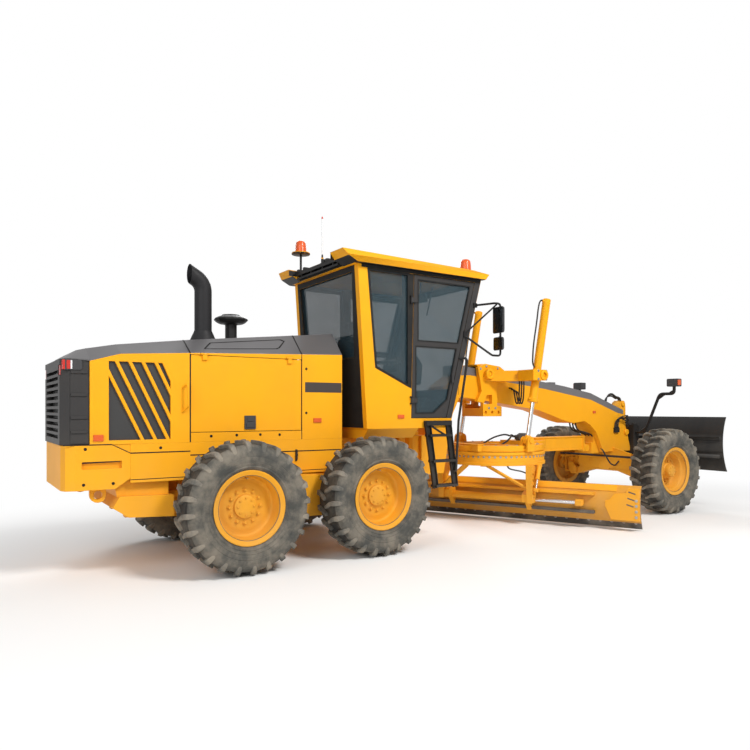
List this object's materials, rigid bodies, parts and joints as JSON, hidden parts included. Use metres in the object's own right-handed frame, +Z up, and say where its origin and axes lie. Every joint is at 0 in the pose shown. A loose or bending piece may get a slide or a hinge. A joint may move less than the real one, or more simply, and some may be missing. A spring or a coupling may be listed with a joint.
{
  "type": "motor grader",
  "caption": "Articulated motor grader with a cab over the hitch, a turning blade under its arched front frame, leaning steered front wheels, tandem rear wheels and a front push blade.",
  "frame": {"origin": "on the ground under the middle of the machine's overall length and width", "axes": "+X forward, +Y to the machine's left, +Z up"},
  "size_m": [9.96, 3.8509, 4.028],
  "materials": {
    "yellow": "semi-gloss warm yellow paint",
    "hood_grey": "satin dark grey paint",
    "frame_dark": "satin very dark grey paint",
    "black_steel": "satin black paint",
    "cast_dark": "bare dark casting",
    "worn_blade": "worn blade steel with old paint",
    "chrome_rod": "polished hard chrome",
    "tyre_rubber": "dusty dark rubber",
    "hose_rubber": "matt black rubber",
    "tinted_glass": "grey-blue tinted glass",
    "lamp_red": "clear red plastic",
    "interior": "matt dark plastic and seat cloth",
    "stack_black": "heat-proof matt black"
  },
  "bodies": {
    "rear_body": {"rear_frame": "yellow", "rear_bumper": "yellow", "engine_hood": "hood_grey", "hood_sides": "yellow", "rear_grille": "frame_dark", "engine_block": "cast_dark", "exhaust_and_intake": "stack_black", "tandem_cases": "frame_dark", "lamp_lenses": "lamp_red", "cab_body": "yellow", "cab_roof": "yellow", "cab_glass": "tinted_glass", "cab_interior": "interior", "access_ladders": "black_steel", "mirror_frames": "black_steel"},
    "front_body": {"front_frame": "yellow", "frame_cover": "hood_grey", "lift_saddle": "yellow", "front_axle": "yellow", "hydraulic_hoses": "hose_rubber", "dozer_mount": "black_steel"},
    "drawbar": {"drawbar": "yellow"},
    "circle": {"circle_ring": "yellow"},
    "blade_carrier": {"blade_carrier": "black_steel"},
    "moldboard": {"moldboard": "worn_blade"},
    "dozer_arms": {"dozer_arms": "black_steel"},
    "dozer_blade": {"dozer_blade": "black_steel"},
    "dozer_cylinder": {"dozer_cylinder": "black_steel"},
    "dozer_rod": {"dozer_rod": "chrome_rod"},
    "lean_bar": {"lean_bar": "yellow"},
    "tie_rod_end": {"tie_rod_end": "black_steel"},
    "tie_rod": {"tie_rod": "black_steel"},
    "hood_door_right": {"hood_door_right": "yellow"},
    "cab_door_right": {"cab_door_right": "frame_dark", "cab_door_glass_right": "tinted_glass"},
    "rear_wheel_right": {"rear_tyre_right": "tyre_rubber", "rear_rim_right": "yellow"},
    "middle_wheel_right": {"middle_tyre_right": "tyre_rubber", "middle_rim_right": "yellow"},
    "hood_door_left": {"hood_door_left": "yellow"},
    "cab_door_left": {"cab_door_left": "frame_dark", "cab_door_glass_left": "tinted_glass"},
    "rear_wheel_left": {"rear_tyre_left": "tyre_rubber", "rear_rim_left": "yellow"},
    "middle_wheel_left": {"middle_tyre_left": "tyre_rubber", "middle_rim_left": "yellow"},
    "lift_barrel_right": {"lift_barrel_right": "black_steel"},
    "lift_rod_right": {"lift_rod_right": "chrome_rod"},
    "lift_barrel_left": {"lift_barrel_left": "black_steel"},
    "lift_rod_left": {"lift_rod_left": "chrome_rod"},
    "lean_yoke_left": {"lean_yoke_left": "yellow"},
    "spindle_left": {"spindle_left": "yellow"},
    "front_wheel_left": {"front_tyre_left": "tyre_rubber", "front_rim_left": "yellow"},
    "lean_yoke_right": {"lean_yoke_right": "yellow"},
    "spindle_right": {"spindle_right": "yellow"},
    "front_wheel_right": {"front_tyre_right": "tyre_rubber", "front_rim_right": "yellow"}
  },
  "joints": [
    {"name": "articulation", "type": "hinge", "parent": "rear_body", "child": "front_body", "pos_m": [-0.52, 0, 1], "axis": [0, 0, -1], "range_deg": [-22, 22]},
    {"name": "hood_door_right_hinge", "type": "hinge", "parent": "rear_body", "child": "hood_door_right", "pos_m": [-3.135, -0.634, 2.212], "axis": [-1, 0, 0], "range_deg": [0, 95]},
    {"name": "cab_door_right_hinge", "type": "hinge", "parent": "rear_body", "child": "cab_door_right", "pos_m": [-1.108, -0.836, 2.4], "axis": [0, 0, -1], "range_deg": [0, 85]},
    {"name": "rear_wheel_right_spin", "type": "hinge", "parent": "rear_body", "child": "rear_wheel_right", "pos_m": [-3.37, -1.07, 0.67], "axis": [0, 1, 0], "continuous": true},
    {"name": "middle_wheel_right_spin", "type": "hinge", "parent": "rear_body", "child": "middle_wheel_right", "pos_m": [-1.794, -1.07, 0.67], "axis": [0, 1, 0], "continuous": true},
    {"name": "hood_door_left_hinge", "type": "hinge", "parent": "rear_body", "child": "hood_door_left", "pos_m": [-3.135, 0.634, 2.212], "axis": [1, 0, 0], "range_deg": [0, 95]},
    {"name": "cab_door_left_hinge", "type": "hinge", "parent": "rear_body", "child": "cab_door_left", "pos_m": [-1.108, 0.836, 2.4], "axis": [0, 0, 1], "range_deg": [0, 85]},
    {"name": "rear_wheel_left_spin", "type": "hinge", "parent": "rear_body", "child": "rear_wheel_left", "pos_m": [-3.37, 1.07, 0.67], "axis": [0, 1, 0], "continuous": true},
    {"name": "middle_wheel_left_spin", "type": "hinge", "parent": "rear_body", "child": "middle_wheel_left", "pos_m": [-1.794, 1.07, 0.67], "axis": [0, 1, 0], "continuous": true},
    {"name": "drawbar_lift", "type": "hinge", "parent": "front_body", "child": "drawbar", "pos_m": [3.08, 0, 1], "axis": [0, 1, 0], "range_deg": [-6, 12]},
    {"name": "circle_turn", "type": "hinge", "parent": "drawbar", "child": "circle", "pos_m": [1.03, 0, 0.945], "axis": [0, 0, 1], "continuous": true},
    {"name": "blade_tilt", "type": "hinge", "parent": "circle", "child": "blade_carrier", "pos_m": [0.7321, -0.1421, 0.38], "axis": [-0.4305, 0.9026, 0], "range_deg": [-15, 25]},
    {"name": "side_shift", "type": "slide", "parent": "blade_carrier", "child": "moldboard", "axis": [0.4305, -0.9026, 0], "range_m": [-0.55, 0.55]},
    {"name": "lift_barrel_right_swing", "type": "hinge", "parent": "front_body", "child": "lift_barrel_right", "pos_m": [1.17, -0.72, 2.124], "axis": [0, 1, 0], "range_deg": [-2, 3]},
    {"name": "lift_rod_right_slide", "type": "slide", "parent": "lift_barrel_right", "child": "lift_rod_right", "axis": [0.1912, 0, 0.9815], "range_m": [-0.25, 0.46]},
    {"name": "lift_barrel_left_swing", "type": "hinge", "parent": "front_body", "child": "lift_barrel_left", "pos_m": [1.17, 0.72, 2.124], "axis": [0, 1, 0], "range_deg": [-2, 3]},
    {"name": "lift_rod_left_slide", "type": "slide", "parent": "lift_barrel_left", "child": "lift_rod_left", "axis": [0.1912, 0, 0.9815], "range_m": [-0.25, 0.46]},
    {"name": "dozer_lift", "type": "hinge", "parent": "front_body", "child": "dozer_arms", "pos_m": [4.23, 0, 0.76], "axis": [0, -1, 0], "range_deg": [-62, 4]},
    {"name": "dozer_blade_level", "type": "hinge", "parent": "dozer_arms", "child": "dozer_blade", "pos_m": [4.76, 0, 1.01], "axis": [0, -1, 0], "range_deg": [-5, 63]},
    {"name": "dozer_cylinder_swing", "type": "hinge", "parent": "front_body", "child": "dozer_cylinder", "pos_m": [4.19, 0, 1.25], "axis": [0, -1, 0], "range_deg": [-8, 2]},
    {"name": "dozer_rod_slide", "type": "slide", "parent": "dozer_cylinder", "child": "dozer_rod", "axis": [0.4205, 0, -0.9073], "range_m": [-0.02, 0.18]},
    {"name": "wheel_lean", "type": "hinge", "parent": "front_body", "child": "lean_yoke_left", "pos_m": [3.715, 0.66, 0.55], "axis": [1, 0, 0], "range_deg": [-18, 18]},
    {"name": "wheel_lean_right", "type": "hinge", "parent": "front_body", "child": "lean_yoke_right", "pos_m": [3.715, -0.66, 0.55], "axis": [1, 0, 0], "range_deg": [-18.5, 18.5]},
    {"name": "lean_bar_pivot", "type": "hinge", "parent": "lean_yoke_left", "child": "lean_bar", "pos_m": [3.715, 0.66, 0.872], "axis": [1, 0, 0], "range_deg": [-18.5, 18.5]},
    {"name": "steer", "type": "hinge", "parent": "lean_yoke_left", "child": "spindle_left", "pos_m": [3.715, 0.8, 0.67], "axis": [0, 0, 1], "range_deg": [-45, 45]},
    {"name": "steer_right", "type": "hinge", "parent": "lean_yoke_right", "child": "spindle_right", "pos_m": [3.715, -0.8, 0.67], "axis": [0, 0, 1], "range_deg": [-45.5, 45.5]},
    {"name": "tie_rod_swivel", "type": "hinge", "parent": "spindle_left", "child": "tie_rod_end", "pos_m": [3.465, 0.8, 0.858], "axis": [0, 0, 1], "range_deg": [-45.5, 45.5]},
    {"name": "tie_rod_pivot", "type": "hinge", "parent": "tie_rod_end", "child": "tie_rod", "pos_m": [3.465, 0.8, 0.858], "axis": [1, 0, 0], "range_deg": [-18.5, 18.5]},
    {"name": "front_wheel_right_spin", "type": "hinge", "parent": "spindle_right", "child": "front_wheel_right", "pos_m": [3.715, -1.07, 0.67], "axis": [0, 1, 0], "continuous": true},
    {"name": "front_wheel_left_spin", "type": "hinge", "parent": "spindle_left", "child": "front_wheel_left", "pos_m": [3.715, 1.07, 0.67], "axis": [0, 1, 0], "continuous": true}
  ],
  "couplings": [
    {"joint": "lift_barrel_right_swing", "follows": "drawbar_lift", "ratio": 0.1296},
    {"joint": "lift_rod_right_slide", "follows": "drawbar_lift", "m_per_rad": 2.0937},
    {"joint": "lift_barrel_left_swing", "follows": "drawbar_lift", "ratio": 0.1296},
    {"joint": "lift_rod_left_slide", "follows": "drawbar_lift", "m_per_rad": 2.0937},
    {"joint": "dozer_blade_level", "follows": "dozer_lift", "ratio": -1},
    {"joint": "dozer_cylinder_swing", "follows": "dozer_lift", "ratio": 0.10566},
    {"joint": "dozer_rod_slide", "follows": "dozer_lift", "m_per_rad": -0.15395},
    {"joint": "wheel_lean_right", "follows": "wheel_lean", "ratio": 1},
    {"joint": "lean_bar_pivot", "follows": "wheel_lean", "ratio": -1},
    {"joint": "steer_right", "follows": "steer", "ratio": 1},
    {"joint": "tie_rod_swivel", "follows": "steer", "ratio": -1},
    {"joint": "tie_rod_pivot", "follows": "wheel_lean", "ratio": -0.8237}
  ]
}
